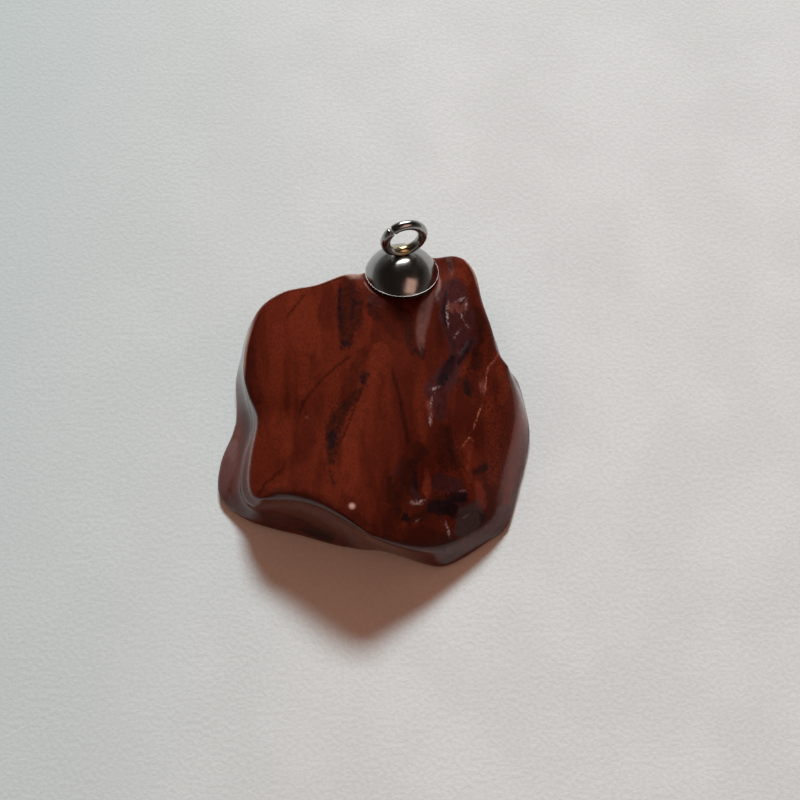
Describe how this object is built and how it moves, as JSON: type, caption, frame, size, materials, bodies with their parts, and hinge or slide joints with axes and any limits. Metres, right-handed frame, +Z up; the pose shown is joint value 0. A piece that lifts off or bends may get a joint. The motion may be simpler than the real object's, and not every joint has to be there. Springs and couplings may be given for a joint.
{
  "type": "red jasper pendant",
  "caption": "Polished freeform stone pendant with a flat back and scooped sides; a domed metal cap and an eye loop are glued into its top end so that it can hang.",
  "frame": {"origin": "middle of the base of the whole pendant, on the plane of the stone's flat back", "axes": "+X to the right as the face is seen, +Y towards the loop end, +Z up from the flat back through the polished face"},
  "size_m": [0.0364, 0.037, 0.0159],
  "materials": {
    "jasper": "high polish",
    "plated_metal": "polished silver-coloured plating"
  },
  "bodies": {
    "root": {"stone": "jasper", "bead_cap": "plated_metal", "eye_pin": "plated_metal"}
  },
  "joints": []
}
